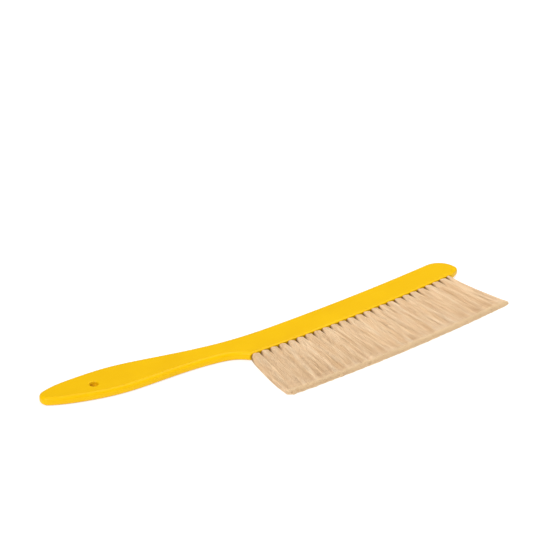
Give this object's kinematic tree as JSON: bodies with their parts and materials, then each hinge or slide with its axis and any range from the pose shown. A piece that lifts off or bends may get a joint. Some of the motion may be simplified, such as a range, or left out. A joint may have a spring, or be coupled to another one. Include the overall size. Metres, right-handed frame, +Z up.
{
  "type": "bee brush",
  "caption": "Long hand brush: flat one-piece moulded grip and head with a hang hole, and a single row of soft bristle tufts along one side.",
  "frame": {"origin": "bottom centre of the box of the brush as it lies flat on its underside", "axes": "+X from the butt of the grip to the toe of the head, the bristles point to -Y, +Z up out of the flat side"},
  "size_m": [0.423, 0.1311, 0.008],
  "materials": {
    "handle_plastic": "satin",
    "bristle": "matte",
    "anchor_wire": "satin"
  },
  "bodies": {
    "root": {"handle": "handle_plastic", "tuft_01": "bristle", "anchor_01": "anchor_wire", "tuft_02": "bristle", "anchor_02": "anchor_wire", "tuft_03": "bristle", "anchor_03": "anchor_wire", "tuft_04": "bristle", "anchor_04": "anchor_wire", "tuft_05": "bristle", "anchor_05": "anchor_wire", "tuft_06": "bristle", "anchor_06": "anchor_wire", "tuft_07": "bristle", "anchor_07": "anchor_wire", "tuft_08": "bristle", "anchor_08": "anchor_wire", "tuft_09": "bristle", "anchor_09": "anchor_wire", "tuft_10": "bristle", "anchor_10": "anchor_wire", "tuft_11": "bristle", "anchor_11": "anchor_wire", "tuft_12": "bristle", "anchor_12": "anchor_wire", "tuft_13": "bristle", "anchor_13": "anchor_wire", "tuft_14": "bristle", "anchor_14": "anchor_wire", "tuft_15": "bristle", "anchor_15": "anchor_wire", "tuft_16": "bristle", "anchor_16": "anchor_wire", "tuft_17": "bristle", "anchor_17": "anchor_wire", "tuft_18": "bristle", "anchor_18": "anchor_wire", "tuft_19": "bristle", "anchor_19": "anchor_wire", "tuft_20": "bristle", "anchor_20": "anchor_wire", "tuft_21": "bristle", "anchor_21": "anchor_wire", "tuft_22": "bristle", "anchor_22": "anchor_wire", "tuft_23": "bristle", "anchor_23": "anchor_wire", "tuft_24": "bristle", "anchor_24": "anchor_wire", "tuft_25": "bristle", "anchor_25": "anchor_wire"}
  },
  "joints": []
}
